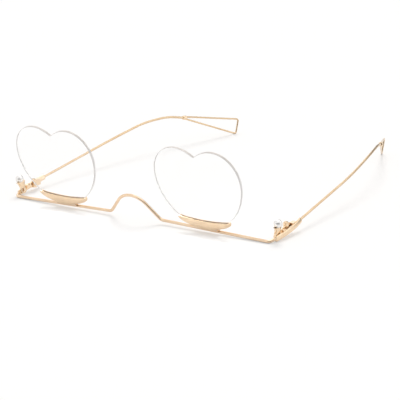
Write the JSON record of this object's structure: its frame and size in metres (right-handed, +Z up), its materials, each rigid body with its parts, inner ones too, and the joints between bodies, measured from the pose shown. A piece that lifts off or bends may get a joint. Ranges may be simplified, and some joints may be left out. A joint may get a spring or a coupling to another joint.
{
  "type": "heart shaped glasses",
  "caption": "Gold wire glasses with clear rimless heart lenses gripped along the bottom, an arched bridge, pearls at the hinges and folding temples with open loop tips.",
  "frame": {"origin": "on the resting plane, under the middle of the front bar", "axes": "+X to the wearer's left, +Y back along the temples, +Z up from the resting plane"},
  "size_m": [0.1474, 0.1597, 0.0395],
  "materials": {
    "gold_wire": "polished pale gold plating",
    "gold_fittings": "polished pale gold plating",
    "screw_metal": "turned, pale gold plating",
    "clear_lens": "clear, polished faces and edges",
    "pearl": "white pearl lustre"
  },
  "bodies": {
    "front": {"front_wire": "gold_wire", "lens_left": "clear_lens", "lens_right": "clear_lens", "lens_holder_left": "gold_fittings", "lens_holder_right": "gold_fittings", "endpiece_left": "gold_fittings", "endpiece_right": "gold_fittings", "pearl_left": "pearl", "pearl_right": "pearl", "pearl_peg_left": "gold_fittings", "pearl_peg_right": "gold_fittings", "pearl_claw_left": "gold_fittings", "pearl_claw_right": "gold_fittings", "hinge_front_leaf_left": "gold_fittings", "hinge_front_leaf_right": "gold_fittings", "hinge_screw_left": "screw_metal", "hinge_screw_right": "screw_metal"},
    "temple_left": {"hinge_temple_leaf_left": "gold_fittings", "temple_block_left": "gold_fittings", "temple_wire_left": "gold_wire", "tip_collar_left": "gold_fittings", "tip_loop_left": "gold_wire"},
    "temple_right": {"hinge_temple_leaf_right": "gold_fittings", "temple_block_right": "gold_fittings", "temple_wire_right": "gold_wire", "tip_collar_right": "gold_fittings", "tip_loop_right": "gold_wire"}
  },
  "joints": [
    {"name": "temple_left_fold", "type": "hinge", "parent": "front", "child": "temple_left", "pos_m": [0.0704, 0.013, 0.00375], "axis": [0, 0, 1], "range_deg": [0, 80]},
    {"name": "temple_right_fold", "type": "hinge", "parent": "front", "child": "temple_right", "pos_m": [-0.0704, 0.013, 0.00375], "axis": [0, 0, -1], "range_deg": [0, 76]}
  ]
}
